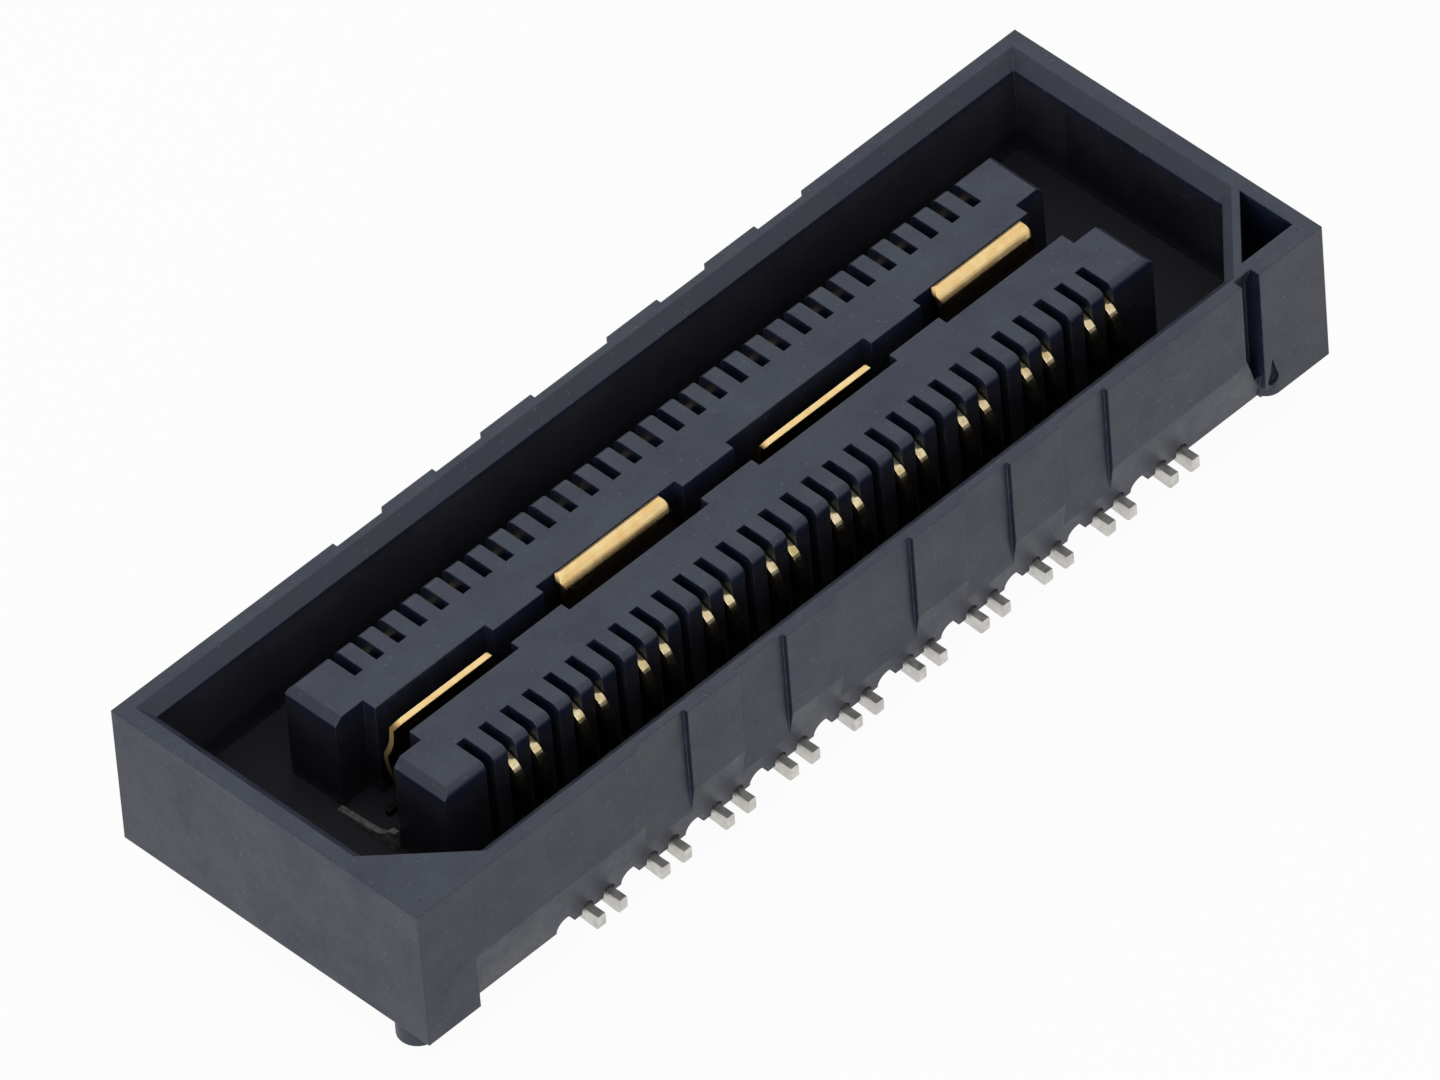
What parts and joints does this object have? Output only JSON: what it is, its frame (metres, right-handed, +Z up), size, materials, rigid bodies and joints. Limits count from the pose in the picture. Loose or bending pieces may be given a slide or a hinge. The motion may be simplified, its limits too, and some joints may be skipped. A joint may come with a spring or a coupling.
{
  "type": "board to board connector",
  "caption": "Low black socket strip that joins circuit boards: shroud and island moulding, paired gold spring contacts with solder tails, a sprung ground strip and locating pegs.",
  "frame": {"origin": "centre of the moulding on the board plane, level with the underside of the solder tails", "axes": "+X along the strip towards the position 1 end with the triangular pocket, +Z up out of the mating face, pegs on the -Y side"},
  "size_m": [0.0212, 0.0074, 0.0038],
  "materials": {
    "housing_plastic": "matte black moulded liquid crystal polymer with a faint flow grain",
    "contact_gold": "gold plated beam and matte tin plated tail on phosphor bronze",
    "ground_gold": "bright gold plate on phosphor bronze sheet"
  },
  "bodies": {
    "root": {"housing": "housing_plastic", "ground_strip": "ground_gold", "contact_a_01": "contact_gold", "contact_a_02": "contact_gold", "contact_a_03": "contact_gold", "contact_a_04": "contact_gold", "contact_a_05": "contact_gold", "contact_a_06": "contact_gold", "contact_a_07": "contact_gold", "contact_a_08": "contact_gold", "contact_a_09": "contact_gold", "contact_a_10": "contact_gold", "contact_a_11": "contact_gold", "contact_a_12": "contact_gold", "contact_a_13": "contact_gold", "contact_a_14": "contact_gold", "contact_a_15": "contact_gold", "contact_a_16": "contact_gold", "contact_a_17": "contact_gold", "contact_a_18": "contact_gold", "contact_a_19": "contact_gold", "contact_a_20": "contact_gold", "contact_b_01": "contact_gold", "contact_b_02": "contact_gold", "contact_b_03": "contact_gold", "contact_b_04": "contact_gold", "contact_b_05": "contact_gold", "contact_b_06": "contact_gold", "contact_b_07": "contact_gold", "contact_b_08": "contact_gold", "contact_b_09": "contact_gold", "contact_b_10": "contact_gold", "contact_b_11": "contact_gold", "contact_b_12": "contact_gold", "contact_b_13": "contact_gold", "contact_b_14": "contact_gold", "contact_b_15": "contact_gold", "contact_b_16": "contact_gold", "contact_b_17": "contact_gold", "contact_b_18": "contact_gold", "contact_b_19": "contact_gold", "contact_b_20": "contact_gold"}
  },
  "joints": []
}
